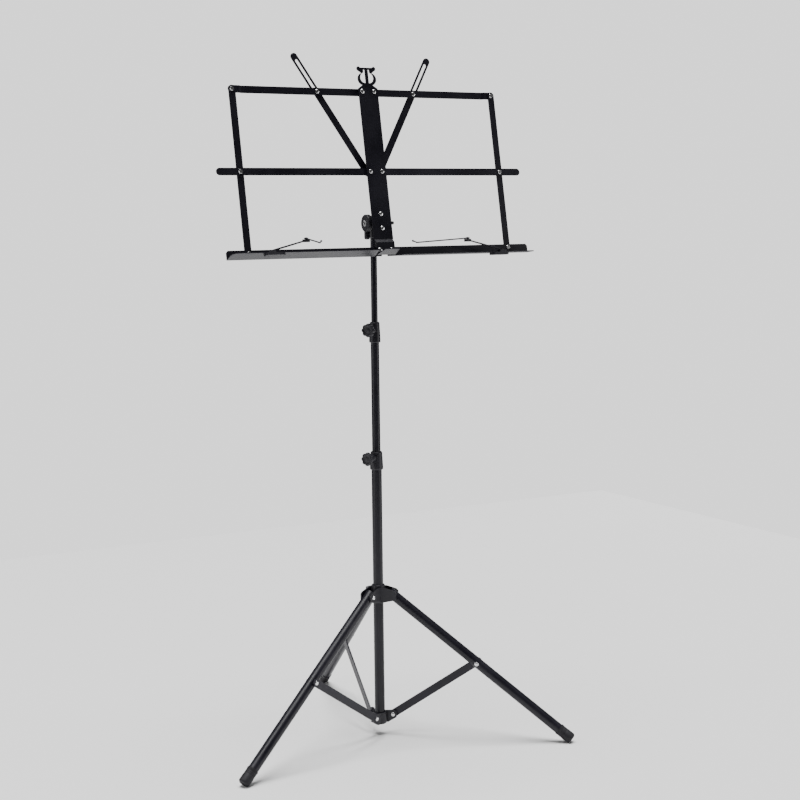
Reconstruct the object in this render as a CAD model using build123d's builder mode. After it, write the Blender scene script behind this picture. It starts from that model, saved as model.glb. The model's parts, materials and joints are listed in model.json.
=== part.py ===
from build123d import *
from math import atan2, cos, degrees, hypot, radians, sin, tan
import os

os.makedirs("parts", exist_ok=True)

# ---------------------------------------------------------------------------
# Driving dimensions, in millimetres and degrees.
# Z is up, the floor is z = 0 and the mast axis is x = y = 0.
# The reader stands on the -Y side, and the ledges run along X.
# ---------------------------------------------------------------------------

RUN = 0.1  # radial clearance of a running fit
GAP = 0.3  # clearance between neighbouring strips

# Tubes of the mast
LOWER_D, LOWER_WALL = 16.0, 1.0
MIDDLE_D, MIDDLE_WALL = 13.0, 0.9
ROD_D, ROD_WALL = 10.0, 1.0
LOWER_BOTTOM, LOWER_TOP = 20.0, 438.5
MIDDLE_BOTTOM, MIDDLE_TOP = 325.0, 637.5
ROD_BOTTOM = 545.0

# Clamps and thumb knobs
LOWER_CLAMP_Z, UPPER_CLAMP_Z = (424.0, 452.0), (621.5, 653.0)
LOWER_KNOB_Z, UPPER_KNOB_Z = 442.5, 641.5
LOWER_KNOB_AZ, UPPER_KNOB_AZ = 205.0, 216.0
KNOB_R, KNOB_T, KNOB_LOBES = 9.4, 9.5, 8
LOBE_R = 2.7
SCREW_R = 2.0

# Tripod
LEG_AZIMUTHS = (81.0, 201.0, 321.0)
LEG_D, LEG_WALL = 16.0, 1.2
HUB_PIVOT_R, HUB_PIVOT_Z = 23.2, 225.9
FOOT_R, FOOT_Z = 298.0, 8.5
BOOT_R = 8.9
BRACE_ON_LEG = 168.7  # from the hub pivot, along the leg
FOOT_BRACKET_R, FOOT_BRACKET_Z = 20.0, 31.0
BRACE_W, BRACE_T = 12.0, 2.5
COLLAR_Z = (213.4, 241.9)
COLLAR_R = 11.6
EAR_SHEET = 2.5  # thickness of the collar's ears
BOOT_NOSE, BOOT_CHAMFER = 3.4, 2.0  # boot end past the foot point

# Desk: strips of sheet steel, in planes parallel to the spine
DESK_LEAN = 10.9
TILT_FORWARD, TILT_Z = 11.0, 803.9  # tilt axis, ahead of the mast axis
TILT_BACK = 17.0  # tilt axis behind the spine's front face
TILT_V = -76.0  # tilt axis below the middle rivet row
ROW_TOP, ROW_LOW = 122.7, -120.6
PIVOT_U = 10.0  # rivets either side of the spine's centre line
ARM = 211.8  # spine rivet to side bar rivet
SHEET = 1.2
LAYER = SHEET + GAP
STRIP_W = 11.0
MIDDLE_ARM_TAIL = 37.8
SPINE_HALF, SPINE_LOW_HALF = 16.5, 15.5
SPINE_STEP = 4.5  # the spine's foot stands this far ahead of its face
STEP_TOP, STEP_FOOT = -104.0, -109.0
V_RIVET = 72.5  # slot rivet, along the top arm from its spine rivet
V_TIP = 209.4
V_SLOT = (138.5, 199.0)
V_SLOT_W = 4.8
LEDGE_END = 257.5
LEDGE_RISE, LEDGE_DROP = 5.0, 7.5  # flange above and below its rivets
FLOOR_DEPTH = 24.0
FLOOR_TILT = {"left": 13.0, "right": -5.0, "centre": 13.0}

# Rivets
RIVET_R, RIVET_HEAD_R, RIVET_HEAD_T = 1.6, 3.4, 1.3
TAIL_R, TAIL_T = 2.7, 0.9
HOLE_R = RIVET_R + RUN

# Tilt head
HEAD_HALF, EAR_T = 8.0, 2.0
BRACKET_HALF_V = 17.0
TILT_BOLT_R = 2.5
TILT_KNOB_R, TILT_KNOB_T = 13.2, 10.0

# Page clips
CLIP_U, CLIP_ARM, CLIP_WIRE = 196.0, 62.0, 97.0
CLIP_FORWARD = 19.0
CLIP_ARM_RISE = 14.5
CLIP_SWING = {"left": 103.0, "right": 0.0}
WIRE_DROOP = 3.2

SIDES = {"left": -1, "right": 1}


def save(piece, name):
    piece.label = name
    export_step(piece, f"parts/{name}.step")


# ---------------------------------------------------------------------------
# Frames: the desk's own axes, the legs' radial planes and any round axis
# ---------------------------------------------------------------------------

LEAN = radians(DESK_LEAN)
DESK_U = Vector(1, 0, 0)
DESK_V = Vector(0, sin(LEAN), cos(LEAN))
DESK_W = Vector(0, -cos(LEAN), sin(LEAN))
TILT_POINT = Vector(0, -TILT_FORWARD, TILT_Z)
DESK_ORIGIN = TILT_POINT + DESK_W * TILT_BACK - DESK_V * TILT_V


def desk_point(u, v, w):
    return DESK_ORIGIN + DESK_U * u + DESK_V * v + DESK_W * w


def desk_plane(w):
    """Plane of the desk at height w towards the reader: local x is u, local y is v."""
    return Plane(origin=desk_point(0, 0, w), x_dir=DESK_U, z_dir=DESK_W)


def desk_section(u):
    """Plane across the desk at u: local x is w, local y is v."""
    return Plane(origin=desk_point(u, 0, 0), x_dir=DESK_W, z_dir=DESK_U * -1)


def floor_plane(tilt):
    """Top face of a ledge floor: local x is u, local y runs forward, and +z is down."""
    b = radians(tilt)
    up = DESK_V * cos(b) - DESK_W * sin(b)
    return Plane(origin=desk_point(0, ROW_LOW - LEDGE_DROP, -LAYER), x_dir=DESK_U, z_dir=up * -1)


def layer(n):
    """Back face of sheet layer n behind the spine, which is layer 0."""
    return -n * LAYER - SHEET


def radial_plane(azimuth, offset=0.0):
    """Upright plane through the mast axis: local x is the radius, local y is the height."""
    a = radians(azimuth)
    normal = Vector(sin(a), -cos(a), 0)
    return Plane(origin=normal * offset, x_dir=Vector(cos(a), sin(a), 0), z_dir=normal)


def polar_point(azimuth, radius, height):
    a = radians(azimuth)
    return Vector(radius * cos(a), radius * sin(a), height)


def axis_plane(start, end):
    return Plane(origin=start, z_dir=(end - start).normalized())


# ---------------------------------------------------------------------------
# Mast
# ---------------------------------------------------------------------------


def make_tube(name, diameter, wall, bottom, top):
    with BuildPart() as tube:
        with BuildSketch(Plane.XY.offset(bottom)):
            Circle(diameter / 2)
            Circle(diameter / 2 - wall, mode=Mode.SUBTRACT)
        extrude(amount=top - bottom)
    save(tube.part, name)


make_tube("lower_tube", LOWER_D, LOWER_WALL, LOWER_BOTTOM, LOWER_TOP)
make_tube("middle_tube", MIDDLE_D, MIDDLE_WALL, MIDDLE_BOTTOM, MIDDLE_TOP)

ROD_TOP = TILT_Z - 3.0
make_tube("rod", ROD_D, ROD_WALL, ROD_BOTTOM, ROD_TOP)


def make_glide(name, bore_r, tube_r, height):
    """Plastic glide at a tube's lower end: a collar in the outer tube and a plug up the inner one."""
    with BuildPart() as glide:
        with BuildSketch(Plane.XY.offset(height - 6.0)):
            Circle(bore_r - RUN)
        extrude(amount=6.0 - RUN)
        with BuildSketch(Plane.XY.offset(height - RUN)):
            Circle(tube_r - RUN)
        extrude(amount=14.0)
        fillet(glide.edges().group_by(Axis.Z)[0], 0.8)
    save(glide.part, name)


make_glide("middle_glide", LOWER_D / 2 - LOWER_WALL, MIDDLE_D / 2 - MIDDLE_WALL, MIDDLE_BOTTOM)
make_glide("rod_glide", MIDDLE_D / 2 - MIDDLE_WALL, ROD_D / 2 - ROD_WALL, ROD_BOTTOM)


def make_clamp(name, span, seat_z, outer_r, inner_r, knob_z, knob_az):
    """Plastic clamp: grips the outer tube's end and guides the inner tube through its top."""
    low, high = span
    waist = low + 4.0
    with BuildPart() as clamp:
        with BuildSketch(Plane.XZ):
            with BuildLine():
                Polyline(
                    (outer_r, low),
                    (outer_r + 1.7, low),
                    (outer_r + 2.3, low + 1.2),
                    (outer_r + 2.3, waist),
                    (outer_r + 1.9, knob_z - 6.0),
                    (inner_r + 2.6, high - 1.5),
                    (inner_r + 1.6, high),
                    (inner_r + RUN, high),
                    (inner_r + RUN, seat_z),
                    (outer_r, seat_z),
                    close=True,
                )
            make_face()
        revolve(axis=Axis.Z)
        boss = Plane(origin=(0, 0, knob_z), z_dir=polar_point(knob_az, 1, 0))
        with BuildSketch(boss.offset(outer_r + 0.6)):
            Circle(5.6)
        extrude(amount=15.6 - outer_r, taper=4)
        with BuildSketch(boss.offset(inner_r + RUN)):
            Circle(SCREW_R + RUN)
        extrude(amount=20, mode=Mode.SUBTRACT)
    save(clamp.part, name)


make_clamp("lower_clamp", LOWER_CLAMP_Z, LOWER_TOP, LOWER_D / 2, MIDDLE_D / 2, LOWER_KNOB_Z, LOWER_KNOB_AZ)
make_clamp("upper_clamp", UPPER_CLAMP_Z, MIDDLE_TOP, MIDDLE_D / 2, ROD_D / 2, UPPER_KNOB_Z, UPPER_KNOB_AZ)

KNOB_IN = 16.6


def make_thumb_knob(name, knob_z, knob_az, inner_r):
    """Lobed thumb knob moulded on a steel screw that presses on the inner tube."""
    axis = Plane(origin=(0, 0, knob_z), z_dir=polar_point(knob_az, 1, 0))
    with BuildPart() as knob:
        with BuildSketch(axis.offset(KNOB_IN)):
            Circle(5.4)
        extrude(amount=2.5)
        for start, end, inset in ((2.5, KNOB_T - 0.8, 0.0), (KNOB_T - 0.8, KNOB_T, 0.7)):
            with BuildSketch(axis.offset(KNOB_IN + start)):
                Circle(KNOB_R - inset)
                with PolarLocations(KNOB_R - 0.9, KNOB_LOBES):
                    Circle(LOBE_R - inset)
            extrude(amount=end - start)
        with BuildSketch(axis.offset(KNOB_IN)):
            Circle(SCREW_R)
        extrude(amount=6.0, mode=Mode.SUBTRACT)
    save(knob.part, name)
    with BuildPart() as screw:
        with BuildSketch(axis.offset(inner_r + GAP)):
            Circle(SCREW_R)
        extrude(amount=KNOB_IN + 6.0 - inner_r - GAP)
    save(screw.part, f"{name}_screw")


make_thumb_knob("lower_knob", LOWER_KNOB_Z, LOWER_KNOB_AZ, MIDDLE_D / 2)
make_thumb_knob("upper_knob", UPPER_KNOB_Z, UPPER_KNOB_AZ, ROD_D / 2)

# ---------------------------------------------------------------------------
# Tripod
# ---------------------------------------------------------------------------

LEG_RUN, LEG_FALL = FOOT_R - HUB_PIVOT_R, HUB_PIVOT_Z - FOOT_Z
LEG_LENGTH = hypot(LEG_RUN, LEG_FALL)
BRACE_TOP_R = HUB_PIVOT_R + BRACE_ON_LEG * LEG_RUN / LEG_LENGTH
BRACE_TOP_Z = HUB_PIVOT_Z - BRACE_ON_LEG * LEG_FALL / LEG_LENGTH
BRACE_LENGTH = hypot(BRACE_TOP_R - FOOT_BRACKET_R, BRACE_TOP_Z - FOOT_BRACKET_Z)
BRACE_ANGLE = degrees(atan2(BRACE_TOP_Z - FOOT_BRACKET_Z, BRACE_TOP_R - FOOT_BRACKET_R))
BRACE_IN = LEG_D / 2 + GAP  # the brace lies against the leg's side
LUG_T = 4.5

# Sliding collar: a ring on the lower tube with a pair of ears round the top of each leg
EAR_FACE = LEG_D / 2 + GAP
EAR_BACK = EAR_FACE + EAR_SHEET
with BuildPart() as leg_collar:
    with BuildSketch(Plane.XZ):
        with BuildLine():
            Polyline(
                (LOWER_D / 2 + RUN, COLLAR_Z[0]),
                (COLLAR_R - 0.8, COLLAR_Z[0]),
                (COLLAR_R, COLLAR_Z[0] + 1.0),
                (COLLAR_R, COLLAR_Z[1] - 9.0),
                (COLLAR_R - 1.2, COLLAR_Z[1] - 1.0),
                (COLLAR_R - 2.0, COLLAR_Z[1]),
                (LOWER_D / 2 + RUN, COLLAR_Z[1]),
                close=True,
            )
        make_face()
    revolve(axis=Axis.Z)
    for azimuth in LEG_AZIMUTHS:
        for start in (-EAR_BACK, EAR_FACE):
            with BuildSketch(radial_plane(azimuth, start)):
                with BuildLine():
                    Polyline(
                        (3.0, HUB_PIVOT_Z + 12.5),
                        (12.0, HUB_PIVOT_Z + 12.0),
                        (HUB_PIVOT_R + 4.0, HUB_PIVOT_Z + 7.4),
                        (HUB_PIVOT_R + 7.0, HUB_PIVOT_Z + 4.4),
                        (HUB_PIVOT_R + 7.0, HUB_PIVOT_Z - 4.4),
                        (HUB_PIVOT_R + 4.0, HUB_PIVOT_Z - 7.4),
                        (12.0, HUB_PIVOT_Z - 10.5),
                        (3.0, HUB_PIVOT_Z - 10.5),
                        close=True,
                    )
                make_face()
            extrude(amount=EAR_SHEET)
    # Each rivet passes one ear and ends blind in the other
    for azimuth in LEG_AZIMUTHS:
        with BuildSketch(radial_plane(azimuth, -EAR_BACK - 1.0)):
            with Locations((HUB_PIVOT_R, HUB_PIVOT_Z)):
                Circle(RIVET_R)
        extrude(amount=EAR_BACK + EAR_FACE + 2.5, mode=Mode.SUBTRACT)
save(leg_collar.part, "leg_collar")

# Foot bracket: a cup under the lower tube with an offset lug for each brace
with BuildPart() as foot_bracket:
    with BuildSketch(Plane.XY.offset(18.0)):
        Circle(11.0)
    extrude(amount=18.5)
    chamfer(foot_bracket.edges().group_by(Axis.Z)[0], 1.5)
    for azimuth in LEG_AZIMUTHS:
        with BuildSketch(radial_plane(azimuth, -LEG_D / 2)):
            with BuildLine():
                Polyline(
                    (4.0, 18.6),
                    (13.0, 18.6),
                    (FOOT_BRACKET_R + 5.5, FOOT_BRACKET_Z - 4.5),
                    (FOOT_BRACKET_R + 5.5, FOOT_BRACKET_Z + 4.0),
                    (FOOT_BRACKET_R + 2.5, FOOT_BRACKET_Z + 6.5),
                    (4.0, FOOT_BRACKET_Z + 5.5),
                    close=True,
                )
            make_face()
            with Locations((FOOT_BRACKET_R, FOOT_BRACKET_Z)):
                Circle(RIVET_R, mode=Mode.SUBTRACT)
        extrude(amount=LUG_T)
    with BuildSketch(Plane.XY.offset(LOWER_BOTTOM)):
        Circle(LOWER_D / 2)
    extrude(amount=60, mode=Mode.SUBTRACT)
save(foot_bracket.part, "foot_bracket")


def dome(plane, radius, height):
    """A low rivet head that stands on the plane."""
    with BuildPart() as head:
        with BuildSketch(plane):
            Circle(radius)
        extrude(amount=height * 0.4)
        with BuildSketch(plane.offset(height * 0.4)):
            Circle(radius)
        extrude(amount=height * 0.6, taper=35)
    return head.part


def post(plane, radius, start, end):
    with BuildPart() as shank:
        with BuildSketch(plane.offset(start)):
            Circle(radius)
        extrude(amount=end - start)
    return shank.part


def flip(plane):
    return Plane(origin=plane.origin, x_dir=plane.x_dir, z_dir=plane.z_dir * -1)


def moved(plane, x, y):
    return Plane(origin=plane.from_local_coords((x, y, 0)), x_dir=plane.x_dir, z_dir=plane.z_dir)


collar_rivets, foot_rivets = [], []
for letter, azimuth in zip("abc", LEG_AZIMUTHS):
    hub_pivot = polar_point(azimuth, HUB_PIVOT_R, HUB_PIVOT_Z)
    foot = polar_point(azimuth, FOOT_R, FOOT_Z)
    along = axis_plane(hub_pivot, foot)
    hub_side = moved(radial_plane(azimuth), HUB_PIVOT_R, HUB_PIVOT_Z)
    joint_side = moved(radial_plane(azimuth), BRACE_TOP_R, BRACE_TOP_Z)
    foot_side = moved(radial_plane(azimuth), FOOT_BRACKET_R, FOOT_BRACKET_Z)

    with BuildPart() as leg:
        with BuildSketch(along.offset(-7.0)):
            Circle(LEG_D / 2)
            Circle(LEG_D / 2 - LEG_WALL, mode=Mode.SUBTRACT)
        extrude(amount=LEG_LENGTH + 7.0 - 4.0)
        with BuildSketch(hub_side.offset(-LEG_D)):
            Circle(RIVET_R + RUN)
        extrude(amount=2 * LEG_D, mode=Mode.SUBTRACT)
        with BuildSketch(joint_side.offset(-LEG_D)):
            Circle(RIVET_R)
        extrude(amount=2 * LEG_D, mode=Mode.SUBTRACT)
    save(leg.part, f"leg_{letter}")

    with BuildPart() as boot:
        with BuildSketch(along.offset(LEG_LENGTH - 20.0)):
            Circle(BOOT_R)
        extrude(amount=20.0 + BOOT_NOSE)
        with BuildSketch(along.offset(LEG_LENGTH + BOOT_NOSE)):
            Circle(BOOT_R)
        extrude(amount=BOOT_CHAMFER, taper=45)
        with BuildSketch(along.offset(LEG_LENGTH - 25.0)):
            Circle(LEG_D / 2)
        extrude(amount=21.0, mode=Mode.SUBTRACT)
        split(bisect_by=Plane.XY, keep=Keep.TOP)
    save(boot.part, f"foot_boot_{letter}")

    leg_rivet = post(joint_side, RIVET_R, -LEG_D / 2, LEG_D / 2 + 0.4)
    leg_rivet += dome(joint_side.offset(LEG_D / 2 + 0.2), RIVET_HEAD_R, RIVET_HEAD_T)
    save(leg_rivet, f"leg_rivet_{letter}")

    with BuildPart() as brace:
        with BuildSketch(radial_plane(azimuth, -BRACE_IN - BRACE_T)):
            with Locations(((BRACE_TOP_R + FOOT_BRACKET_R) / 2, (BRACE_TOP_Z + FOOT_BRACKET_Z) / 2)):
                SlotCenterToCenter(BRACE_LENGTH, BRACE_W, rotation=BRACE_ANGLE)
            with Locations((FOOT_BRACKET_R, FOOT_BRACKET_Z)):
                Circle(HOLE_R, mode=Mode.SUBTRACT)
            with Locations((BRACE_TOP_R, BRACE_TOP_Z)):
                Circle(RIVET_R, mode=Mode.SUBTRACT)
        extrude(amount=BRACE_T)
    save(brace.part, f"brace_{letter}")

    outer = -BRACE_IN - BRACE_T
    brace_rivet = post(joint_side, RIVET_R, outer - 0.3, -BRACE_IN)
    brace_rivet += dome(flip(joint_side.offset(outer)), RIVET_HEAD_R, RIVET_HEAD_T)
    save(brace_rivet, f"brace_rivet_{letter}")

    collar_rivet = post(hub_side, RIVET_R, -EAR_BACK - 0.2, EAR_FACE + 1.5)
    collar_rivet += dome(flip(hub_side.offset(-EAR_BACK)), RIVET_HEAD_R, RIVET_HEAD_T)
    collar_rivets.append(collar_rivet)

    foot_rivet = post(foot_side, RIVET_R, outer - GAP, -LEG_D / 2 + LUG_T)
    foot_rivet += dome(flip(foot_side.offset(outer - GAP)), RIVET_HEAD_R, RIVET_HEAD_T)
    foot_rivet += dome(foot_side.offset(-LEG_D / 2 + LUG_T), RIVET_HEAD_R, RIVET_HEAD_T)
    foot_rivets.append(foot_rivet)

save(Compound(children=collar_rivets), "collar_rivets")
save(Compound(children=foot_rivets), "foot_bracket_rivets")

# ---------------------------------------------------------------------------
# Tilt head, bracket, bolt and knob
# ---------------------------------------------------------------------------

TILT_SIDE = Plane(origin=TILT_POINT, x_dir=(0, 1, 0), z_dir=(1, 0, 0))  # local x is +Y, local y is +Z

with BuildPart() as tilt_head:
    with BuildSketch(TILT_SIDE.offset(-HEAD_HALF)):
        Circle(8.0)
        with Locations((TILT_FORWARD / 2, -4.0)):
            Rectangle(TILT_FORWARD, 8.0)
    extrude(amount=2 * HEAD_HALF)
    with BuildSketch(Plane.XY.offset(TILT_Z - 22.0)):
        Circle(7.2)
    extrude(amount=22.0 + 5.0)
    chamfer(tilt_head.edges().group_by(Axis.Z)[0], 0.8)
    with BuildSketch(Plane.XY.offset(TILT_Z - 30.0)):
        Circle(ROD_D / 2)
    extrude(amount=27.0, mode=Mode.SUBTRACT)
    with BuildSketch(TILT_SIDE.offset(-20)):
        Circle(TILT_BOLT_R + RUN)
    extrude(amount=40, mode=Mode.SUBTRACT)
save(tilt_head.part, "tilt_head")

EAR_IN = HEAD_HALF + GAP
EAR_OUT = EAR_IN + EAR_T
PAD_HALF = 4.2
BASE_FRONT, BASE_BACK = layer(1) - GAP, layer(1) - GAP - 2.0

with BuildPart() as tilt_bracket:
    with BuildSketch(desk_plane(BASE_BACK)):
        with Locations((0, TILT_V)):
            Rectangle(2 * EAR_OUT, 2 * BRACKET_HALF_V)
    extrude(amount=BASE_FRONT - BASE_BACK)
    with BuildSketch(desk_plane(BASE_FRONT)):
        with Locations((0, TILT_V)):
            Rectangle(2 * PAD_HALF, 2 * BRACKET_HALF_V)
    extrude(amount=-SHEET - BASE_FRONT)
    for side in SIDES.values():
        start = EAR_IN if side > 0 else -EAR_OUT
        with BuildSketch(desk_section(start)):
            with BuildLine():
                Polyline(
                    (BASE_BACK + 0.5, TILT_V + BRACKET_HALF_V),
                    (BASE_BACK + 0.5, TILT_V - BRACKET_HALF_V),
                    (-TILT_BACK - 4.0, TILT_V - 5.5),
                    (-TILT_BACK - 6.5, TILT_V),
                    (-TILT_BACK - 4.0, TILT_V + 5.5),
                    close=True,
                )
            make_face()
            with Locations((-TILT_BACK, TILT_V)):
                Circle(TILT_BOLT_R, mode=Mode.SUBTRACT)
        extrude(amount=-EAR_T)
    for dv in (-11.0, 11.0):
        with BuildSketch(desk_plane(BASE_BACK - 1)):
            with Locations((0, TILT_V + dv)):
                Circle(RIVET_R)
        extrude(amount=10, mode=Mode.SUBTRACT)
save(tilt_bracket.part, "tilt_bracket")

BOLT_AXIS = Plane(origin=TILT_POINT, x_dir=(0, 1, 0), z_dir=(1, 0, 0))
KNOB_FACE = -EAR_OUT - GAP
BOLT_TAIL = 19.0
INSERT_T = 2.0

with BuildPart() as tilt_bolt:
    with BuildSketch(BOLT_AXIS.offset(KNOB_FACE - 6.0)):
        Circle(TILT_BOLT_R)
    extrude(amount=EAR_OUT - KNOB_FACE + 6.0 + BOLT_TAIL)
    with BuildSketch(BOLT_AXIS.offset(EAR_OUT)):
        Circle(6.0)
    extrude(amount=1.2)
    with BuildSketch(BOLT_AXIS.offset(EAR_OUT + 1.2)):
        RegularPolygon(5.0, 6)
    extrude(amount=5.0)
    chamfer(tilt_bolt.edges().group_by(Axis.X)[-1], 0.8)
save(tilt_bolt.part, "tilt_bolt")

with BuildPart() as tilt_knob:
    with BuildSketch(BOLT_AXIS.offset(KNOB_FACE - TILT_KNOB_T)):
        Circle(TILT_KNOB_R)
        with Locations((0, -14.0)):
            Rectangle(7.0, 14.0)
        with Locations((0, -21.0)):
            Circle(3.5)
    extrude(amount=TILT_KNOB_T - 3.0)
    with BuildSketch(BOLT_AXIS.offset(KNOB_FACE - 3.0)):
        Circle(7.0)
    extrude(amount=3.0)
    fillet(tilt_knob.edges().group_by(Axis.X)[0], 2.0)
    with BuildSketch(BOLT_AXIS.offset(KNOB_FACE - 6.0 - RUN)):
        Circle(TILT_BOLT_R + RUN)
    extrude(amount=10, mode=Mode.SUBTRACT)
    with BuildSketch(BOLT_AXIS.offset(KNOB_FACE - TILT_KNOB_T - 1)):
        Circle(5.0)
    extrude(amount=1 + INSERT_T, mode=Mode.SUBTRACT)
save(tilt_knob.part, "tilt_knob")

with BuildPart() as tilt_knob_insert:
    with BuildSketch(BOLT_AXIS.offset(KNOB_FACE - TILT_KNOB_T)):
        Circle(5.0)
        Circle(2.0, mode=Mode.SUBTRACT)
    extrude(amount=INSERT_T)
save(tilt_knob_insert.part, "tilt_knob_insert")

# ---------------------------------------------------------------------------
# Spine with its lyre finial, stepped foot and centre floor
# ---------------------------------------------------------------------------

FINIAL_TOP = 159.4
CENTRE_TILT = radians(FLOOR_TILT["centre"])
FOOT_FRONT = SPINE_STEP
FOOT_BACK = SPINE_STEP - SHEET


def floor_height(tilt, w):
    """Height v of a ledge floor's top face at w."""
    return ROW_LOW - LEDGE_DROP + (w + LAYER) * tan(radians(tilt))


with BuildPart() as spine:
    # Outline from the front
    with BuildSketch(desk_plane(-5)):
        with BuildLine():
            Line((0, -140), (SPINE_LOW_HALF, -140))
            Line((SPINE_LOW_HALF, -140), (SPINE_LOW_HALF, STEP_TOP))
            Line((SPINE_LOW_HALF, STEP_TOP), (SPINE_HALF, STEP_TOP))
            Line((SPINE_HALF, STEP_TOP), (SPINE_HALF, 127.2))
            Line((SPINE_HALF, 127.2), (8.6, 132.6))
            ThreePointArc((8.6, 132.6), (15.7, 142.0), (8.8, 151.0))
            Line((8.8, 151.0), (13.6, 154.6))
            ThreePointArc((13.6, 154.6), (16.0, 158.3), (12.4, 161.2))
            Line((12.4, 161.2), (9.6, FINIAL_TOP))
            Line((9.6, FINIAL_TOP), (0, FINIAL_TOP))
            mirror(about=Plane.YZ)
        make_face()
        # The two openings beside the lyre's centre bar
        for side in SIDES.values():
            with BuildLine():
                Polyline((side * 2.7, 135.6), (side * 2.7, 156.4), (side * 5.0, 156.4), (side * 5.4, 151.6))
                ThreePointArc((side * 5.4, 151.6), (side * 10.9, 141.6), (side * 2.7, 135.6))
            make_face(mode=Mode.SUBTRACT)
    extrude(amount=45)
    # Section from the side: plate, step, foot and centre floor
    front_w = SPINE_STEP + FLOOR_DEPTH * cos(CENTRE_TILT) - 3.0
    with BuildSketch(desk_section(-20)):
        with BuildLine():
            Polyline(
                (0, 170),
                (0, STEP_TOP),
                (FOOT_FRONT, STEP_FOOT),
                (FOOT_FRONT, floor_height(FLOOR_TILT["centre"], FOOT_FRONT)),
                (front_w, floor_height(FLOOR_TILT["centre"], front_w)),
                (front_w + 0.3, floor_height(FLOOR_TILT["centre"], front_w) - SHEET),
                (FOOT_BACK, floor_height(FLOOR_TILT["centre"], FOOT_BACK) - SHEET),
                (FOOT_BACK, STEP_FOOT - 0.6),
                (-SHEET, STEP_TOP - 0.6),
                (-SHEET, 170),
                close=True,
            )
        make_face()
    extrude(amount=-40, mode=Mode.INTERSECT)
    # The centre floor narrows towards the reader
    for side in SIDES.values():
        with BuildSketch(floor_plane(0).offset(-12)):
            with BuildLine():
                Polyline((side * 15.6, 8.0), (side * 11.0, 32.0), (side * 30.0, 32.0), (side * 30.0, 8.0), close=True)
            make_face()
        extrude(amount=24, mode=Mode.SUBTRACT)
    rivet_spots = [(side * PIVOT_U, row) for side in SIDES.values() for row in (ROW_TOP, 0, ROW_LOW)]
    fixing_spots = [(0, TILT_V - 11.0), (0, TILT_V + 11.0)]
    with BuildSketch(desk_plane(-10)):
        with Locations(*rivet_spots, *fixing_spots):
            Circle(RIVET_R)
    extrude(amount=30, mode=Mode.SUBTRACT)
save(spine.part, "spine")

fixings = []
for u, v in fixing_spots:
    spot = moved(desk_plane(0), u, v)
    fixings.append(
        post(spot, RIVET_R, BASE_BACK, 0.2)
        + dome(spot, RIVET_HEAD_R, RIVET_HEAD_T)
        + dome(flip(spot.offset(BASE_BACK)), TAIL_R, TAIL_T)
    )
save(Compound(children=fixings), "bracket_fixing_rivets")

# Layers behind the spine: 1 ledge flange, 2 middle arm, 3 side bar,
# 4 top arm at its outer end, 5 top arm, 6 rivet tails, 7 slotted bar
LEDGE_LAYER, MIDDLE_LAYER, SIDE_LAYER, TOP_END_LAYER, TOP_LAYER, V_LAYER = 1, 2, 3, 4, 5, 7

spine_rivets, spacers = [], []
for side in SIDES.values():
    for row, front, last in ((ROW_TOP, 0, TOP_LAYER), (0, 0, V_LAYER), (ROW_LOW, FOOT_FRONT, LEDGE_LAYER)):
        spot = moved(desk_plane(0), side * PIVOT_U, row)
        back = layer(last) - GAP
        spine_rivets.append(
            post(spot, RIVET_R, back, front + 0.2)
            + dome(spot.offset(front), RIVET_HEAD_R, RIVET_HEAD_T)
            + dome(flip(spot.offset(back)), TAIL_R, TAIL_T)
        )

spacer_spans = (
    (ROW_TOP, layer(TOP_LAYER) + SHEET + RUN, -SHEET),
    (0, layer(MIDDLE_LAYER) + SHEET + RUN, -SHEET),
    (0, layer(V_LAYER) + SHEET + RUN, layer(MIDDLE_LAYER) - RUN),
    (ROW_LOW, layer(LEDGE_LAYER) + SHEET + RUN, FOOT_BACK),
)
for side in SIDES.values():
    for row, back, front in spacer_spans:
        spot = moved(desk_plane(0), side * PIVOT_U, row)
        with BuildPart() as spacer:
            with BuildSketch(spot.offset(back)):
                Circle(3.2)
                Circle(RIVET_R, mode=Mode.SUBTRACT)
            extrude(amount=front - back)
        spacers.append(spacer.part)
save(Compound(children=spine_rivets), "spine_rivets")
save(Compound(children=spacers), "spine_spacers")

# ---------------------------------------------------------------------------
# Folding desk: arms, side bars, slotted bars, ledges and page clips
# ---------------------------------------------------------------------------

SIDE_V = (ROW_LOW + ROW_TOP) / 2
SIDE_SPAN = ROW_TOP - ROW_LOW
V_ANGLE = degrees(atan2(V_RIVET, ROW_TOP))
V_RIVET_R = hypot(V_RIVET, ROW_TOP)

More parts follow.
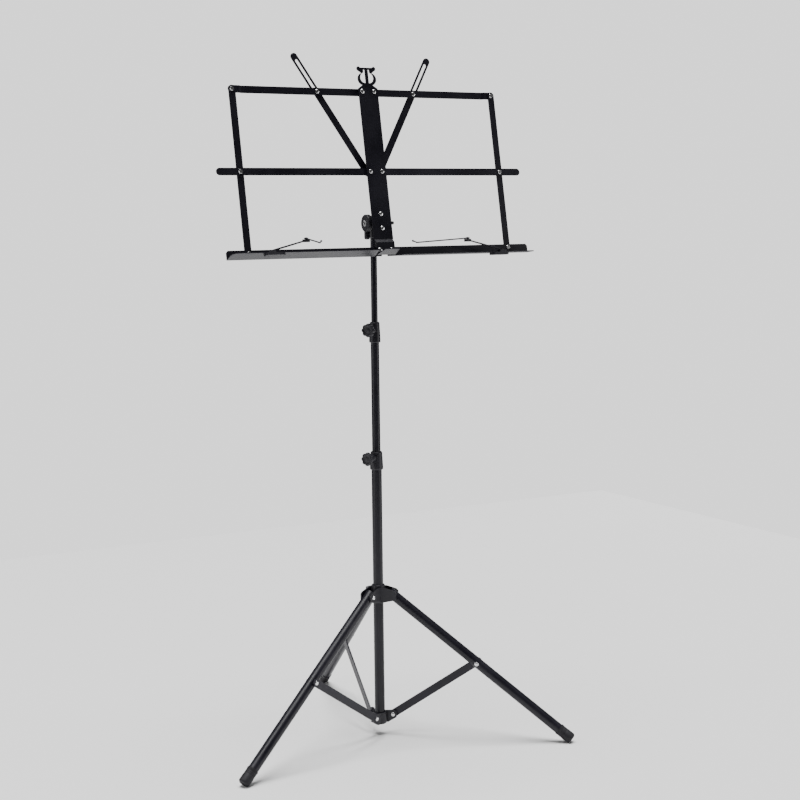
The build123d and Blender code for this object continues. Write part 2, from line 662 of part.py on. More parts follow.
for name, side in SIDES.items():
    corner_u = side * (PIVOT_U + ARM)

    with BuildPart() as middle_arm:
        with BuildSketch(desk_plane(layer(MIDDLE_LAYER))):
            with Locations((side * (PIVOT_U + (ARM + MIDDLE_ARM_TAIL) / 2 - STRIP_W / 4), 0)):
                SlotCenterToCenter(ARM + MIDDLE_ARM_TAIL - STRIP_W / 2, STRIP_W)
            with Locations((side * PIVOT_U, 0), (corner_u, 0)):
                Circle(HOLE_R, mode=Mode.SUBTRACT)
        extrude(amount=SHEET)
    save(middle_arm.part, f"{name}_middle_arm")

    with BuildPart() as top_arm:
        with BuildSketch(desk_plane(layer(TOP_LAYER))):
            with Locations((side * (PIVOT_U + ARM / 2), ROW_TOP)):
                SlotCenterToCenter(ARM, STRIP_W)
            with Locations((side * PIVOT_U, ROW_TOP), (corner_u, ROW_TOP)):
                Circle(HOLE_R, mode=Mode.SUBTRACT)
            with Locations((side * (PIVOT_U + V_RIVET), ROW_TOP)):
                Circle(RIVET_R, mode=Mode.SUBTRACT)
        extrude(amount=2 * LAYER)
        # The outer end steps forward by one layer to meet the side bar
        across = Plane(origin=desk_point(0, ROW_TOP - 20, 0), x_dir=DESK_U, z_dir=DESK_V * -1)
        step_in, step_out = PIVOT_U + ARM - 16.0, PIVOT_U + ARM - 12.0
        main_back, end_back = layer(TOP_LAYER), layer(TOP_END_LAYER)
        with BuildSketch(across):
            with BuildLine():
                Polyline(
                    (0, main_back),
                    (side * (step_in + 0.4), main_back),
                    (side * (step_out + 0.4), end_back),
                    (side * 250, end_back),
                    (side * 250, end_back + SHEET),
                    (side * step_out, end_back + SHEET),
                    (side * step_in, main_back + SHEET),
                    (0, main_back + SHEET),
                    close=True,
                )
            make_face()
        extrude(amount=-40, mode=Mode.INTERSECT)
    save(top_arm.part, f"{name}_top_arm")

    with BuildPart() as side_bar:
        with BuildSketch(desk_plane(layer(SIDE_LAYER))):
            with Locations((corner_u, SIDE_V)):
                SlotCenterToCenter(SIDE_SPAN, STRIP_W, rotation=90)
            with Locations((corner_u, ROW_LOW), (corner_u, 0), (corner_u, ROW_TOP)):
                Circle(RIVET_R, mode=Mode.SUBTRACT)
        extrude(amount=SHEET)
    save(side_bar.part, f"{name}_side_bar")

    # Rivets of the side bar: each one carries the arm or ledge that turns on it
    rivets = []
    for row, front_layer, back_layer in (
        (ROW_LOW, LEDGE_LAYER, SIDE_LAYER),
        (0, MIDDLE_LAYER, SIDE_LAYER),
        (ROW_TOP, SIDE_LAYER, TOP_END_LAYER),
    ):
        spot = moved(desk_plane(0), corner_u, row)
        front = layer(front_layer) + SHEET + (0 if front_layer == SIDE_LAYER else GAP)
        back = layer(back_layer) - (0 if back_layer == SIDE_LAYER else GAP)
        rivet = post(spot, RIVET_R, back, front + 0.2)
        rivet += dome(spot.offset(front), RIVET_HEAD_R, RIVET_HEAD_T)
        rivet += dome(flip(spot.offset(back)), TAIL_R, TAIL_T)
        if front_layer == LEDGE_LAYER:
            rivet += post(spot, 3.2, layer(SIDE_LAYER) + SHEET, layer(LEDGE_LAYER) - RUN)
        rivets.append(rivet)
    save(Compound(children=rivets), f"{name}_side_rivets")

    # Slotted bar: turns behind the middle arm's spine rivet
    a = radians(90 - side * V_ANGLE)
    reach = V_TIP - STRIP_W / 2
    slot_mid, slot_len = sum(V_SLOT) / 2, V_SLOT[1] - V_SLOT[0]
    with BuildPart() as v_bar:
        with BuildSketch(desk_plane(layer(V_LAYER))):
            with Locations((side * PIVOT_U + reach / 2 * cos(a), reach / 2 * sin(a))):
                SlotCenterToCenter(reach, STRIP_W, rotation=degrees(a))
            with Locations((side * PIVOT_U, 0)):
                Circle(HOLE_R, mode=Mode.SUBTRACT)
            with Locations((side * PIVOT_U + slot_mid * cos(a), slot_mid * sin(a))):
                SlotOverall(slot_len, V_SLOT_W, rotation=degrees(a), mode=Mode.SUBTRACT)
        extrude(amount=SHEET)
    save(v_bar.part, f"{name}_slotted_bar")

    # Slot rivet: fixed in the top arm, its tail ends just ahead of the slotted bar
    spot = moved(desk_plane(0), side * (PIVOT_U + V_RIVET), ROW_TOP)
    front = layer(TOP_LAYER) + SHEET
    slot_rivet = post(spot, RIVET_R, layer(TOP_LAYER), front + 0.2)
    slot_rivet += dome(spot.offset(front), RIVET_HEAD_R, RIVET_HEAD_T)
    slot_rivet += dome(flip(spot.offset(layer(TOP_LAYER))), TAIL_R, TAIL_T)
    save(slot_rivet, f"{name}_slot_rivet")

    # Ledge: flange behind the spine's foot and a floor that points at the reader
    with BuildPart() as ledge:
        with BuildSketch(desk_plane(layer(LEDGE_LAYER))):
            with BuildLine():
                inner, end = side * (PIVOT_U - 5.0), side * LEDGE_END
                low, high = ROW_LOW - LEDGE_DROP - SHEET, ROW_LOW + LEDGE_RISE
                Polyline(
                    (side * PIVOT_U, high),
                    (end - side * 3.0, high),
                    (end, high - 3.0),
                    (end, low),
                    (inner, low),
                    (inner, ROW_LOW),
                )
                ThreePointArc(
                    (inner, ROW_LOW),
                    (side * (PIVOT_U - 5.0 * cos(radians(45))), ROW_LOW + 5.0 * sin(radians(45))),
                    (side * PIVOT_U, high),
                )
            make_face()
            with Locations((side * PIVOT_U, ROW_LOW), (corner_u, ROW_LOW)):
                Circle(HOLE_R, mode=Mode.SUBTRACT)
        extrude(amount=SHEET)
        with BuildSketch(floor_plane(FLOOR_TILT[name])):
            with BuildLine():
                near, far = side * 17.8, side * LEDGE_END
                Polyline(
                    (near, -SHEET),
                    (near, 7.0),
                    (side * 21.5, FLOOR_DEPTH),
                    (far - side * 9.0, FLOOR_DEPTH),
                )
                ThreePointArc(
                    (far - side * 9.0, FLOOR_DEPTH),
                    (far - side * 2.6, FLOOR_DEPTH - 2.6),
                    (far, FLOOR_DEPTH - 9.0),
                )
                Polyline((far, FLOOR_DEPTH - 9.0), (far, -SHEET), (near, -SHEET))
            make_face()
        extrude(amount=SHEET)
    save(ledge.part, f"{name}_ledge")

    # Page clip: base under the floor's front edge, link, and wire with a hooked tip
    floor = floor_plane(FLOOR_TILT[name])
    up = floor.z_dir * -1
    pin_spot = Plane(origin=floor.from_local_coords((side * CLIP_U, CLIP_FORWARD, 0)), x_dir=DESK_U, z_dir=up)
    with BuildPart() as clip_base:
        with BuildSketch(pin_spot.offset(-SHEET - 4.0)):
            with Locations((-side * 5.0, -1.2)):
                SlotOverall(33.0, 12.0)
        extrude(amount=4.0)
        with BuildSketch(pin_spot.offset(-SHEET - 4.0)):
            with Locations((0, -6.25)):
                Rectangle(12.0, 1.9)
        extrude(amount=SHEET + 6.0)
        with BuildSketch(pin_spot):
            with Locations((0, -1.1)):
                Rectangle(12.0, 12.2)
        extrude(amount=2.0)
        with BuildSketch(pin_spot.offset(2.0)):
            Circle(2.0)
        extrude(amount=2.0)
    save(clip_base.part, f"{name}_clip_base")

    rise = radians(CLIP_ARM_RISE)
    inward = DESK_U * -side
    arm_dir = inward * cos(rise) + up * sin(rise)
    arm_up = up * cos(rise) - inward * sin(rise)
    arm_start = pin_spot.origin + up * 2.3
    link_plane = Plane(origin=arm_start + arm_up * 0.2, x_dir=arm_dir, z_dir=arm_up)
    elbow = arm_start + arm_dir * CLIP_ARM
    elbow_plane = Plane(origin=elbow, x_dir=inward, z_dir=(0, 0, 1))
    with BuildPart() as clip_link:
        with BuildSketch(Plane(origin=arm_start, x_dir=inward, z_dir=up)):
            Circle(4.2)
            Circle(2.0 + RUN, mode=Mode.SUBTRACT)
        extrude(amount=1.6)
        with BuildSketch(link_plane):
            with BuildLine():
                Polyline((3.4, -2.2), (CLIP_ARM, -1.5), (CLIP_ARM, 1.5), (3.4, 2.2), close=True)
            make_face()
        extrude(amount=1.6)
        with BuildSketch(elbow_plane.offset(-1.5)):
            SlotOverall(12.0, 5.6)
        extrude(amount=4.0)
        with BuildSketch(elbow_plane.offset(2.5)):
            Circle(1.5)
        extrude(amount=3.0)
        with BuildSketch(pin_spot.offset(2.0)):
            Circle(2.0 + RUN)
        extrude(amount=8.0, mode=Mode.SUBTRACT)
    save(clip_link.part, f"{name}_clip_link")

    swing, droop = radians(CLIP_SWING[name]), radians(WIRE_DROOP)
    level = inward * cos(swing) + Vector(0, -1, 0) * sin(swing)
    wire_dir = level * cos(droop) - Vector(0, 0, 1) * sin(droop)
    wire_start = elbow_plane.offset(2.5 + GAP + 1.1).origin
    wire_bend = wire_start + wire_dir * (CLIP_WIRE - 7.0)
    wire_tip = wire_start + wire_dir * CLIP_WIRE + Vector(0, 0, 3.0)
    with BuildPart() as clip_wire:
        with BuildSketch(elbow_plane.offset(2.5 + GAP)):
            Circle(3.2)
        extrude(amount=2.2)
        with BuildSketch(axis_plane(wire_start, wire_bend)):
            Circle(1.0)
        extrude(amount=CLIP_WIRE - 7.0)
        with BuildSketch(axis_plane(wire_bend, wire_tip)):
            Circle(1.0)
        extrude(amount=(wire_tip - wire_bend).length)
        with Locations(axis_plane(wire_bend, wire_tip)):
            Sphere(1.0)
        with Locations(axis_plane(wire_tip, wire_tip * 2 - wire_bend)):
            Sphere(1.5)
        with BuildSketch(elbow_plane.offset(2.0)):
            Circle(1.5 + RUN)
        extrude(amount=4.0, mode=Mode.SUBTRACT)
    save(clip_wire.part, f"{name}_clip_wire")
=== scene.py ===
import json
from math import cos, pi, radians, sin

import bpy
from mathutils import Matrix, Vector


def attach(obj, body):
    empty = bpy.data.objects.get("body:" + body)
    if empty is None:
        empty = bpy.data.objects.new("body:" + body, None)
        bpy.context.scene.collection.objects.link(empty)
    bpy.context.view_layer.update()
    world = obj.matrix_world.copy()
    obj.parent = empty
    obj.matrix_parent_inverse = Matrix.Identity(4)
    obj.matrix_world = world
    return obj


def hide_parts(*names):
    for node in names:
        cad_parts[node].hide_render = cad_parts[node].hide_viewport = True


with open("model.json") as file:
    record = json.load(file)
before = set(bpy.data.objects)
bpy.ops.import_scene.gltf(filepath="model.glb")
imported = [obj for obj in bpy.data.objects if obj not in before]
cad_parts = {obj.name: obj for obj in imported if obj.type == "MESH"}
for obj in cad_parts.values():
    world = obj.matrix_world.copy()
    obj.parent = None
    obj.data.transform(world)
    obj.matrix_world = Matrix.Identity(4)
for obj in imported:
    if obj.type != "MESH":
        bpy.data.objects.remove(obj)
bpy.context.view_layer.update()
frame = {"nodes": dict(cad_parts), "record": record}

NODES = frame["nodes"]
RECORD = frame["record"]
MM = 0.001
LEG_AZIMUTHS = (81.0, 201.0, 321.0)

# ---------------------------------------------------------------------------
# Node helpers
# ---------------------------------------------------------------------------


class Graph:
    """A node material with a Principled shader and short ways to add nodes."""

    def __init__(self, name):
        self.material = bpy.data.materials.new(name)
        self.material.use_nodes = True
        self.tree = self.material.node_tree
        self.shader = self.tree.nodes["Principled BSDF"]
        self.coords = self.add("ShaderNodeTexCoord")

    def add(self, kind, **values):
        node = self.tree.nodes.new(kind)
        for key, value in values.items():
            setattr(node, key, value)
        return node

    def link(self, output, socket):
        self.tree.links.new(output, socket)

    def noise(self, scale, detail=3.0, roughness=0.55, stretch=None):
        node = self.add("ShaderNodeTexNoise")
        node.inputs["Scale"].default_value = scale
        node.inputs["Detail"].default_value = detail
        node.inputs["Roughness"].default_value = roughness
        source = self.coords.outputs["Object"]
        if stretch:
            mapping = self.add("ShaderNodeMapping")
            mapping.inputs["Scale"].default_value = stretch
            self.link(source, mapping.inputs["Vector"])
            source = mapping.outputs["Vector"]
        self.link(source, node.inputs["Vector"])
        return node.outputs["Fac"]

    def cells(self, scale):
        node = self.add("ShaderNodeTexVoronoi")
        node.inputs["Scale"].default_value = scale
        self.link(self.coords.outputs["Object"], node.inputs["Vector"])
        return node.outputs["Distance"]

    def ramp(self, source, low, high, start, end):
        """Maps source from low..high to start..end, held at both ends."""
        node = self.add("ShaderNodeMapRange")
        node.inputs["From Min"].default_value = low
        node.inputs["From Max"].default_value = high
        node.inputs["To Min"].default_value = start
        node.inputs["To Max"].default_value = end
        self.link(source, node.inputs["Value"])
        return node.outputs["Result"]

    def math(self, operation, first, second):
        node = self.add("ShaderNodeMath", operation=operation)
        for socket, value in zip(node.inputs, (first, second)):
            if isinstance(value, float):
                socket.default_value = value
            else:
                self.link(value, socket)
        return node.outputs["Value"]

    def mix(self, factor, first, second):
        node = self.add("ShaderNodeMix", data_type="RGBA")
        self.link(factor, node.inputs["Factor"])
        colours = [socket for socket in node.inputs if socket.type == "RGBA"]
        for socket, value in zip(colours, (first, second)):
            if isinstance(value, tuple):
                socket.default_value = (*value, 1.0)
            else:
                self.link(value, socket)
        return [socket for socket in node.outputs if socket.type == "RGBA"][0]

    def bump(self, height, distance, strength=1.0, normal=None):
        node = self.add("ShaderNodeBump")
        node.inputs["Distance"].default_value = distance
        node.inputs["Strength"].default_value = strength
        self.link(height, node.inputs["Height"])
        if normal:
            self.link(normal, node.inputs["Normal"])
        return node.outputs["Normal"]

    def edge_mask(self, radius):
        """Near 1 on sharp edges and 0 on open faces."""
        bevel = self.add("ShaderNodeBevel", samples=4)
        bevel.inputs["Radius"].default_value = radius
        geometry = self.add("ShaderNodeNewGeometry")
        dot = self.add("ShaderNodeVectorMath", operation="DOT_PRODUCT")
        self.link(bevel.outputs["Normal"], dot.inputs[0])
        self.link(geometry.outputs["Normal"], dot.inputs[1])
        return self.ramp(dot.outputs["Value"], 0.97, 0.80, 0.0, 1.0)

    def finish(self, colour, roughness, normal, metallic=0.0, specular=0.5):
        self.shader.inputs["Metallic"].default_value = metallic
        self.shader.inputs["Specular IOR Level"].default_value = specular
        for value, socket in ((colour, "Base Color"), (roughness, "Roughness"), (normal, "Normal")):
            if isinstance(value, tuple):
                self.shader.inputs[socket].default_value = (*value, 1.0)
            elif isinstance(value, float):
                self.shader.inputs[socket].default_value = value
            elif value:
                self.link(value, self.shader.inputs[socket])
        return self.material


# ---------------------------------------------------------------------------
# Materials
# ---------------------------------------------------------------------------


def powder_coat(name, tint, roughness, wear):
    """Semi-gloss powder coat: orange peel, dust speckle, and worn edges."""
    g = Graph(name)
    peel = g.noise(950.0, 2.0, 0.5)
    grain = g.noise(4200.0, 2.0, 0.6)
    cloud = g.noise(14.0, 4.0, 0.6)
    speck = g.ramp(g.cells(420.0), 0.03, 0.07, 1.0, 0.0)
    lighter = tuple(min(1.0, c * 1.55 + 0.006) for c in tint)
    base = g.mix(g.ramp(cloud, 0.35, 0.7, 0.0, 1.0), tint, lighter)
    dusty = g.mix(g.math("MULTIPLY", speck, 0.10), base, (0.05, 0.047, 0.066))
    scuff = g.math("MULTIPLY", g.edge_mask(0.0005), g.ramp(g.noise(160.0, 4.0), 0.42, 0.62, 0.0, wear))
    colour = g.mix(scuff, dusty, (0.045, 0.042, 0.060))
    patches = g.ramp(cloud, 0.3, 0.7, roughness - 0.04, roughness + 0.05)
    rough = g.math("ADD", patches, g.ramp(grain, 0.3, 0.7, -0.03, 0.03))
    normal = g.bump(grain, 0.00003, 0.5, g.bump(peel, 0.00007, 0.6))
    return g.finish(colour, rough, normal, specular=0.32)


def moulded(name, tint, roughness, grain_scale=1500.0, depth=0.00010):
    """Moulded plastic: fine spark-eroded texture, faint flow marks, and polished edges that are also
    lightened in colour as a painted highlight.
    """
    g = Graph(name)
    grain = g.cells(grain_scale)
    fine = g.noise(3600.0, 2.0, 0.6)
    flow = g.noise(60.0, 3.0, 0.6, stretch=(1.0, 1.0, 0.35))
    lighter = tuple(min(1.0, c * 1.5 + 0.006) for c in tint)
    base = g.mix(g.ramp(flow, 0.35, 0.7, 0.0, 1.0), tint, lighter)
    # edge is partly real and partly painted light: it lowers the roughness for polished edges, and it
    # lightens the colour on every edge as a painted highlight
    edge = g.math("MULTIPLY", g.edge_mask(0.0006), 0.5)
    # painted highlight: the colour is lighter along all sharp edges
    colour = g.mix(edge, base, tuple(min(1.0, c * 2.2 + 0.012) for c in tint))
    marks = g.ramp(flow, 0.3, 0.7, roughness - 0.04, roughness + 0.06)
    rough = g.math("SUBTRACT", marks, g.math("MULTIPLY", edge, 0.25))
    normal = g.bump(fine, 0.00002, 0.5, g.bump(grain, depth, 0.35))
    return g.finish(colour, rough, normal, specular=0.42)


def bright_metal(name, tint, roughness, stretch):
    """Plated steel: fine drawn lines, small dents and a little grime in the texture."""
    g = Graph(name)
    lines = g.noise(700.0, 3.0, 0.6, stretch=stretch)
    dents = g.noise(480.0, 3.0, 0.5)
    grime = g.ramp(g.noise(240.0, 4.0, 0.65), 0.56, 0.74, 0.0, 0.45)
    colour = g.mix(grime, tint, tuple(c * 0.42 for c in tint))
    drawn = g.ramp(lines, 0.3, 0.7, roughness - 0.05, roughness + 0.07)
    rough = g.math("ADD", drawn, g.math("MULTIPLY", grime, 0.35))
    normal = g.bump(dents, 0.00005, 0.4, g.bump(lines, 0.00001, 0.5))
    return g.finish(colour, rough, normal, metallic=1.0)


def soft_rubber(name):
    g = Graph(name)
    grain = g.noise(2600.0, 3.0, 0.6)
    patch = g.noise(70.0, 4.0, 0.6)
    dust = g.ramp(g.noise(520.0, 4.0, 0.7), 0.5, 0.75, 0.0, 0.35)
    base = g.mix(g.ramp(patch, 0.3, 0.7, 0.0, 1.0), (0.0055, 0.0050, 0.0080), (0.0110, 0.0100, 0.0145))
    colour = g.mix(dust, base, (0.055, 0.053, 0.052))
    rough = g.ramp(patch, 0.3, 0.7, 0.58, 0.74)
    return g.finish(colour, rough, g.bump(grain, 0.00008, 0.5), specular=0.35)


COATED = (0.0046, 0.0041, 0.0082)
FINISHES = {
    "mast_steel": powder_coat("coated_tube", COATED, 0.34, 0.3),
    "leg_steel": powder_coat("coated_leg_tube", COATED, 0.36, 0.3),
    "brace_steel": powder_coat("coated_brace_strip", (0.0090, 0.0080, 0.0140), 0.40, 0.45),
    "desk_steel": powder_coat("coated_desk_strip", (0.0052, 0.0046, 0.0094), 0.38, 0.35),
    "spine_steel": powder_coat("coated_spine_sheet", (0.0046, 0.0041, 0.0084), 0.36, 0.30),
    "rivet_steel": bright_metal("nickel_rivet", (0.74, 0.74, 0.75), 0.24, (1.0, 1.0, 1.0)),
    "zinc_steel": bright_metal("zinc_screw", (0.52, 0.52, 0.53), 0.34, (1.0, 1.0, 8.0)),
    "black_fastener": powder_coat("blackened_fastener", (0.020, 0.019, 0.022), 0.34, 0.9),
    "clamp_plastic": moulded("clamp_nylon", (0.0062, 0.0056, 0.0100), 0.44),
    "knob_plastic": moulded("knob_nylon", (0.0056, 0.0051, 0.0088), 0.50, 1300.0, 0.00014),
    "hub_plastic": moulded("hub_nylon", (0.0060, 0.0054, 0.0096), 0.42),
    "tilt_plastic": moulded("tilt_head_nylon", (0.0060, 0.0054, 0.0096), 0.44),
    "glide_plastic": moulded("glide_nylon", (0.45, 0.45, 0.42), 0.50),
    "boot_rubber": soft_rubber("boot_rubber"),
    "clip_plastic": moulded("clip_nylon", (0.0070, 0.0063, 0.0110), 0.46),
    "clip_metal": powder_coat("blackened_clip_steel", (0.020, 0.019, 0.023), 0.36, 0.9),
    "insert_metal": bright_metal("insert_disc", (0.70, 0.70, 0.71), 0.30, (1.0, 1.0, 1.0)),
}
SLOT_OF = {part["node"]: part["material_slot"] for part in RECORD["subparts"]}
BODY_OF = {node: body for body, nodes in RECORD["behaviour"]["bodies"].items() for node in nodes}

for node_name, node_object in NODES.items():
    for slot in node_object.material_slots:
        slot.material = FINISHES[SLOT_OF[node_name]]

# Small rolled edges on the pressed, cut and moulded pieces
EDGES = {
    "spine": 0.25, "left_ledge": 0.3, "right_ledge": 0.3, "lower_clamp": 0.45, "upper_clamp": 0.45,
    "leg_collar": 0.6, "foot_bracket": 0.6, "tilt_head": 0.7, "tilt_bracket": 0.3, "tilt_knob": 0.3,
    "left_clip_base": 0.4, "right_clip_base": 0.4, "left_clip_link": 0.3, "right_clip_link": 0.3,
    "tilt_bolt": 0.25, "brace_a": 0.35, "brace_b": 0.35, "brace_c": 0.35,
    "leg_a": 0.3, "leg_b": 0.3, "leg_c": 0.3,
}
for side in ("left", "right"):
    for strip in ("middle_arm", "top_arm", "side_bar", "slotted_bar"):
        EDGES[f"{side}_{strip}"] = 0.28
for node_name, width in EDGES.items():
    bevel = NODES[node_name].modifiers.new("rolled_edge", "BEVEL")
    bevel.width = width * MM
    bevel.segments = 2
    bevel.limit_method = "ANGLE"
    bevel.angle_limit = radians(50)
    bevel.harden_normals = True
    bevel.use_clamp_overlap = True

# ---------------------------------------------------------------------------
# Piece helpers
# ---------------------------------------------------------------------------


def add_piece(name, verts, faces, slot_name, body, replaced=(), angle=35):
    mesh = bpy.data.meshes.new(name)
    mesh.from_pydata([tuple(v) for v in verts], [], faces)
    mesh.validate()
    mesh.materials.append(FINISHES[slot_name])
    mesh.polygons.foreach_set("use_smooth", [True] * len(mesh.polygons))
    mesh.set_sharp_from_angle(angle=radians(angle))
    piece = bpy.data.objects.new(name, mesh)
    bpy.context.scene.collection.objects.link(piece)
    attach(piece, body)
    if replaced:
        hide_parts(*replaced)
    return piece


def frame_of(axis):
    """Two unit vectors square to the axis and to each other."""
    axis = axis.normalized()
    helper = Vector((0, 0, 1)) if abs(axis.z) < 0.9 else Vector((1, 0, 0))
    side = axis.cross(helper).normalized()
    return side, axis.cross(side)


def lathe(origin, axis, profile, steps=40, radius_at=None):
    """Verts and faces of a solid of revolution, from (height, radius) pairs. radius_at shapes the outline."""
    side, up = frame_of(axis)
    axis = axis.normalized()
    verts, faces, rings = [], [], []
    for height, radius in profile:
        centre = origin + axis * height
        if radius <= 1e-7:
            rings.append([len(verts)])
            verts.append(centre)
            continue
        ring = []
        for k in range(steps):
            t = 2 * pi * k / steps
            r = radius_at(t, radius) if radius_at else radius
            ring.append(len(verts))
            verts.append(centre + side * (r * cos(t)) + up * (r * sin(t)))
        rings.append(ring)
    for low, high in zip(rings, rings[1:]):
        for k in range(steps):
            n = (k + 1) % steps
            if len(low) == 1:
                faces.append((low[0], high[n], high[k]))
            elif len(high) == 1:
                faces.append((low[k], low[n], high[0]))
            else:
                faces.append((low[k], low[n], high[n], high[k]))
    return verts, faces


def joined(parts):
    verts, faces = [], []
    for part_verts, part_faces in parts:
        start = len(verts)
        verts.extend(part_verts)
        faces.extend(tuple(i + start for i in face) for face in part_faces)
    return verts, faces


def islands(node):
    """The vertex lists of a node's separate solids."""
    mesh = NODES[node].data
    places = {}
    index = []
    for v in mesh.vertices:
        key = tuple(round(c, 6) for c in v.co)
        index.append(places.setdefault(key, len(places)))
    parent = list(range(len(places)))

    def root(i):
        while parent[i] != i:
            parent[i] = parent[parent[i]]
            i = parent[i]
        return i

    for edge in mesh.edges:
        a, b = (root(index[i]) for i in edge.vertices)
        parent[a] = b
    groups = {}
    for key, i in places.items():
        groups.setdefault(root(i), []).append(Vector(key))
    return list(groups.values())


# ---------------------------------------------------------------------------
# Rivets: a domed head with a thin rim, a shank and a rolled tail
# ---------------------------------------------------------------------------

JOINTS = {joint["name"]: joint for joint in RECORD["behaviour"]["joints"]}
DESK_W = Vector(JOINTS["right_fold"]["axis"]).normalized()


def cap(start, radius, height, rings=7):
    """Profile of a spherical cap that starts on a flat and rises by height."""
    edge = height * 0.18
    points = [(start, radius * 0.97), (start + edge, radius)]
    for k in range(1, rings):
        t = (pi / 2) * k / rings
        points.append((start + edge + (height - edge) * sin(t), radius * cos(t)))
    points.append((start + height, 0.0))
    return points


def rivet(points, axis, head, tail, shank=1.6):
    """One rivet over a CAD rivet's own span. head and tail are (radius, height) in mm, or None."""
    centre = sum(points, Vector()) / len(points)
    along = [(p - centre).dot(axis) for p in points]
    low, high = min(along), max(along)
    cross = [(p - centre) - axis * (p - centre).dot(axis) for p in points]
    side, up = frame_of(axis)
    for direction in (side, up):
        spans = [c.dot(direction) for c in cross]
        centre = centre + direction * ((min(spans) + max(spans)) / 2)
    profile = []
    if tail:
        t = cap(0.0, tail[0] * MM, tail[1] * MM)
        profile += [(low + tail[1] * MM - h, r) for h, r in reversed(t)]
    else:
        profile += [(low, 0.0), (low, shank * MM)]
    profile.append((low + (tail[1] if tail else 0.0) * MM, shank * MM))
    profile.append((high - head[1] * MM, shank * MM))
    profile += [(high - head[1] * MM + h, r) for h, r in cap(0.0, head[0] * MM, head[1] * MM)]
    return lathe(centre, axis, profile, 28)


HEAD, TAIL = (3.4, 1.3), (2.7, 0.9)


def rivet_node(node, axis_of, head, tail):
    parts = [rivet(points, axis_of(points), head, tail) for points in islands(node)]
    verts, faces = joined(parts)
    add_piece(f"{node}_domed", verts, faces, SLOT_OF[node], BODY_OF[node], (node,), 50)


def desk_axis(points):
    return DESK_W


def leg_axis(points):
    """The radial plane's normal nearest to these points, on the side where heads stand."""
    centre = sum(points, Vector()) / len(points)
    best = max(LEG_AZIMUTHS, key=lambda az: centre.x * cos(radians(az)) + centre.y * sin(radians(az)))
    return Vector((sin(radians(best)), -cos(radians(best)), 0.0))


def leg_axis_back(points):
    return leg_axis(points) * -1


rivet_node("collar_rivets", leg_axis_back, HEAD, None)
rivet_node("spine_rivets", desk_axis, HEAD, TAIL)
rivet_node("bracket_fixing_rivets", desk_axis, HEAD, TAIL)
rivet_node("left_slot_rivet", desk_axis, HEAD, TAIL)
rivet_node("right_slot_rivet", desk_axis, HEAD, TAIL)
rivet_node("foot_bracket_rivets", leg_axis, HEAD, HEAD)
for letter in "abc":
    rivet_node(f"leg_rivet_{letter}", leg_axis, HEAD, None)
    rivet_node(f"brace_rivet_{letter}", leg_axis_back, HEAD, None)

# ---------------------------------------------------------------------------
# Thumb knobs: eight soft lobes, a dished face and a skirted hub
# ---------------------------------------------------------------------------


def thumb_knob(node, joint):
    axis = Vector(JOINTS[joint]["axis"]).normalized()
    origin = Vector(JOINTS[joint]["pos_m"])
    lobes, valley, lobe_centre, lobe_radius = 8, 9.6 * MM, 7.2 * MM, 3.7 * MM

    def outline(angle, radius):
        """Rounded lobes: the outer rings follow eight circles that stand out of the round body."""
        if radius < 7.9 * MM:
            return radius
        pitch = 2 * pi / lobes
        off = (angle + pitch / 2) % pitch - pitch / 2
        reach = lobe_radius ** 2 - (lobe_centre * sin(off)) ** 2
        lobe = lobe_centre * cos(off) + reach ** 0.5 if reach > 0 else valley
        return radius - valley + max(lobe, valley)

    start, full = 16.6, 9.5
    profile = [
        (start, 2.2), (start, 5.0), (start + 0.4, 5.4), (start + 2.1, 5.4), (start + 2.5, 6.0),
        (start + 2.5, 8.0), (start + 2.8, 8.8), (start + 3.5, 9.2), (start + 5.6, 9.3),
        (start + full - 1.7, 9.2), (start + full - 0.7, 8.8), (start + full - 0.15, 8.2),
        (start + full, 7.6), (start + full - 0.2, 7.0), (start + full - 1.2, 6.4),
        (start + full - 1.5, 5.4), (start + full - 1.4, 3.2), (start + full - 0.9, 2.6),
        (start + full - 0.8, 0.0),
    ]
    scaled = [(h * MM, r * MM) for h, r in profile]
    verts, faces = lathe(origin, axis, scaled, 128, outline)
    add_piece(f"{node}_lobed", verts, faces, SLOT_OF[node], BODY_OF[node], (node,), 50)


thumb_knob("lower_knob", "lower_knob_turn")
thumb_knob("upper_knob", "upper_knob_turn")

# ---------------------------------------------------------------------------
# Boots: ribbed rubber caps with a rolled lip, worn flat on the floor
# ---------------------------------------------------------------------------


HUB_RADIUS, HUB_HEIGHT = 23.2, 225.9
FOOT_RADIUS, FOOT_HEIGHT = 298.0, 8.5
FLOOR_GAP = 0.05 * MM


def boot(letter, azimuth):
    node = f"foot_boot_{letter}"
    a = radians(azimuth)
    hub = Vector((cos(a) * HUB_RADIUS, sin(a) * HUB_RADIUS, HUB_HEIGHT)) * MM
    foot = Vector((cos(a) * FOOT_RADIUS, sin(a) * FOOT_RADIUS, FOOT_HEIGHT)) * MM
    axis = (foot - hub).normalized()
    profile = [(-20.0, 8.05), (-20.0, 8.6), (-19.7, 8.88), (-17.6, 8.88), (-17.2, 8.62)]
    for k in range(3):
        low = -15.4 + 2.6 * k
        profile += [(low, 8.62), (low + 0.25, 8.42), (low + 0.75, 8.42), (low + 1.0, 8.62)]
    profile += [(-7.6, 8.62), (-7.0, 8.88), (2.6, 8.88), (3.3, 8.82), (4.0, 8.35)]
    profile += [(4.8, 7.55), (5.25, 6.95), (5.36, 6.3), (5.36, 4.4), (5.0, 4.1), (5.0, 0.0)]
    scaled = [(h * MM, r * MM) for h, r in profile]
    verts, faces = lathe(foot, axis, scaled, 56)
    verts = [Vector((v.x, v.y, max(v.z, FLOOR_GAP))) for v in verts]
    add_piece(f"{node}_ribbed", verts, faces, SLOT_OF[node], BODY_OF[node], (node,), 40)


for letter, azimuth in zip("abc", LEG_AZIMUTHS):
    boot(letter, azimuth)

# ---------------------------------------------------------------------------
# Stage, lights and camera
# ---------------------------------------------------------------------------


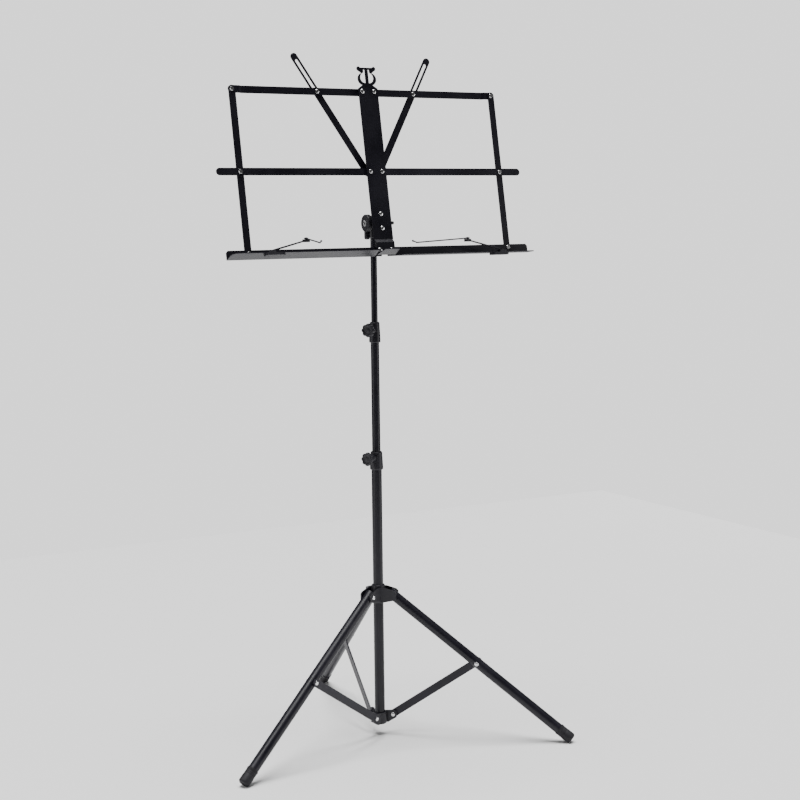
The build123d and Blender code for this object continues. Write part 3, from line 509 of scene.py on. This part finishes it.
def flat_colour(name, colour, roughness):
    g = Graph(name)
    cloud = g.noise(3.0, 3.0, 0.5)
    base = g.mix(g.ramp(cloud, 0.3, 0.7, 0.0, 1.0), colour, tuple(c * 0.99 for c in colour))
    return g.finish(base, roughness, None)


floor_mesh = bpy.data.meshes.new("studio_floor")
FLOOR_SIZE = 1.6
floor_corners = [(x * FLOOR_SIZE, y * FLOOR_SIZE, 0) for x, y in ((-1, -1), (1, -1), (1, 1), (-1, 1))]
floor_mesh.from_pydata(floor_corners, [], [(0, 1, 2, 3)])
floor_mesh.materials.append(flat_colour("pale_floor", (0.90, 0.90, 0.90), 0.9))
floor_object = bpy.data.objects.new("studio_floor", floor_mesh)
bpy.context.scene.collection.objects.link(floor_object)

ROOM_LIGHT, BACKDROP_LIGHT = 0.05, 1.5
world = bpy.data.worlds.new("studio")
world.use_nodes = True
backdrop = world.node_tree.nodes["Background"]
backdrop.inputs["Color"].default_value = (1.0, 1.0, 1.0, 1.0)
# The backdrop is pale to look at, but the room that the coat reflects is dim
seen = world.node_tree.nodes.new("ShaderNodeLightPath")
level = world.node_tree.nodes.new("ShaderNodeMapRange")
level.inputs["To Min"].default_value = ROOM_LIGHT
level.inputs["To Max"].default_value = BACKDROP_LIGHT
world.node_tree.links.new(seen.outputs["Is Camera Ray"], level.inputs["Value"])
world.node_tree.links.new(level.outputs["Result"], backdrop.inputs["Strength"])
bpy.context.scene.world = world


def softbox(name, position, target, width, height, power):
    light = bpy.data.lights.new(name, "AREA")
    light.shape = "RECTANGLE"
    light.size, light.size_y = width, height
    light.energy = power
    lamp = bpy.data.objects.new(name, light)
    direction = Vector(target) - Vector(position)
    lamp.rotation_euler = direction.to_track_quat("-Z", "Y").to_euler()
    lamp.location = position
    bpy.context.scene.collection.objects.link(lamp)


MIDDLE = (0.0, 0.0, 0.6)
softbox("left_strip", (-2.4, 0.1, 0.8), MIDDLE, 0.30, 1.8, 15.0)
softbox("right_strip", (2.0, -1.5, 0.7), MIDDLE, 0.30, 1.6, 15.0)
softbox("rear_left", (-1.8, 2.0, 1.4), MIDDLE, 0.5, 2.2, 7.0)
softbox("rear_right", (2.2, 1.5, 1.4), MIDDLE, 0.5, 2.2, 7.0)

overhead = bpy.data.lights.new("overhead", "SUN")
overhead.energy, overhead.angle = 5.0, radians(40)
overhead_lamp = bpy.data.objects.new("overhead", overhead)
overhead_lamp.location = (0.0, 0.0, 3.0)
bpy.context.scene.collection.objects.link(overhead_lamp)

camera_data = bpy.data.cameras.new("camera")
camera_data.sensor_width = 36.0
camera_data.lens = 71.47
camera = bpy.data.objects.new("camera", camera_data)
HEADING, PITCH, ROLL = radians(28.92), radians(-6.74), radians(-0.69)
forward = Vector((sin(HEADING) * cos(PITCH), cos(HEADING) * cos(PITCH), sin(PITCH)))
level_right = Vector((cos(HEADING), -sin(HEADING), 0.0))
level_up = level_right.cross(forward)
right = level_right * cos(ROLL) + level_up * sin(ROLL)
upward = level_up * cos(ROLL) - level_right * sin(ROLL)
turn = Matrix((right, upward, -forward)).transposed().to_4x4()
camera.matrix_world = Matrix.Translation((-1.1458, -2.1517, 0.8198)) @ turn
bpy.context.scene.collection.objects.link(camera)
bpy.context.scene.camera = camera
